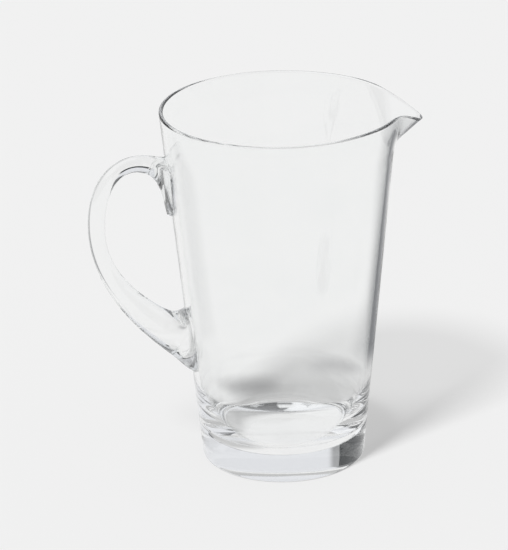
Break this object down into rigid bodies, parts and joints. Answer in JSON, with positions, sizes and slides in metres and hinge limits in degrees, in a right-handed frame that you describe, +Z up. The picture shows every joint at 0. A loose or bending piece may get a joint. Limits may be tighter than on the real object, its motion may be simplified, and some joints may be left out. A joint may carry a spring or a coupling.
{
  "type": "glass jug",
  "caption": "Clear glass jug with a tapered round body, heavy base and pulled pouring lip, carried by a drawn glass loop handle fused to the side.",
  "frame": {"origin": "middle of the flat underside, on the jug's axis", "axes": "+Z up along the jug's axis, +X towards the pouring lip, with the handle on the -X side"},
  "size_m": [0.2101, 0.1466, 0.23],
  "materials": {
    "body_glass": "clear, fire-polished",
    "handle_glass": "clear, fire-polished"
  },
  "bodies": {
    "root": {"body": "body_glass", "handle": "handle_glass"}
  },
  "joints": []
}
